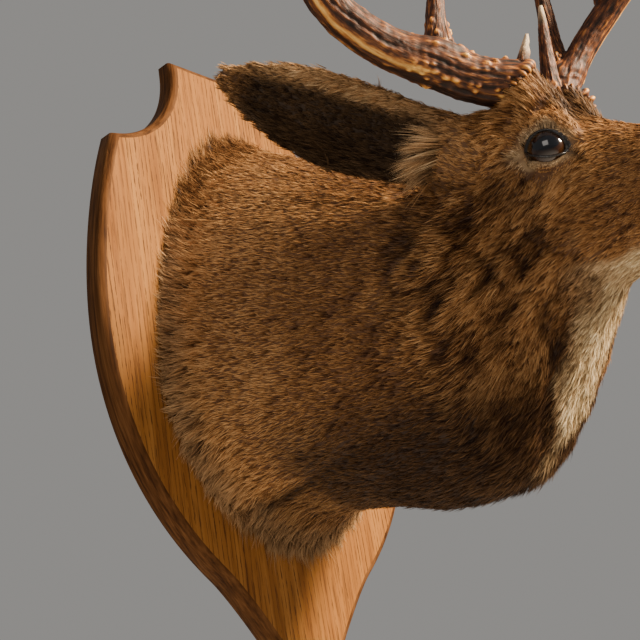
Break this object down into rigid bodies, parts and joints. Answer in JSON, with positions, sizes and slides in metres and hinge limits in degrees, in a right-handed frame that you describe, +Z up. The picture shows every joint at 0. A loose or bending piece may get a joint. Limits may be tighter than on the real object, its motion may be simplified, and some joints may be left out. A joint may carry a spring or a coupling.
{
  "type": "white-tailed deer shoulder mount",
  "caption": "White-tailed deer buck's head and neck with branched antlers, mounted looking straight out of a shield-shaped oak wall board.",
  "frame": {"origin": "centre of the board's back face across, at the height where the board is widest but for 24 mm", "axes": "+Z up, +Y out of the board's back into the wall, the animal looks along -Y with its right side at -X"},
  "size_m": [0.4562, 0.5768, 0.7903],
  "materials": {
    "board_oak": "satin clear varnish",
    "hanger_steel": "zinc plated",
    "coat_brown": "short winter hair",
    "coat_pale": "short pale hair",
    "nose_black": "moist pebbled skin",
    "eye_glass": "polished",
    "antler_bone": "polished ridged bone"
  },
  "bodies": {
    "root": {"shield_board": "board_oak", "hanger_plate": "hanger_steel", "neck": "coat_brown", "head": "coat_brown", "muzzle": "coat_brown", "lower_jaw": "coat_pale", "nose_pad": "nose_black", "eye_right": "eye_glass", "eye_left": "eye_glass", "ear_right": "coat_brown", "ear_left": "coat_brown", "antler_right_base": "antler_bone", "antler_right_brow_tine": "antler_bone", "antler_right_beam_lower": "antler_bone", "antler_right_second_tine": "antler_bone", "antler_right_beam_middle": "antler_bone", "antler_right_third_tine": "antler_bone", "antler_right_beam_tip": "antler_bone", "antler_left_base": "antler_bone", "antler_left_brow_tine": "antler_bone", "antler_left_beam_lower": "antler_bone", "antler_left_second_tine": "antler_bone", "antler_left_beam_middle": "antler_bone", "antler_left_third_tine": "antler_bone", "antler_left_beam_tip": "antler_bone"}
  },
  "joints": []
}
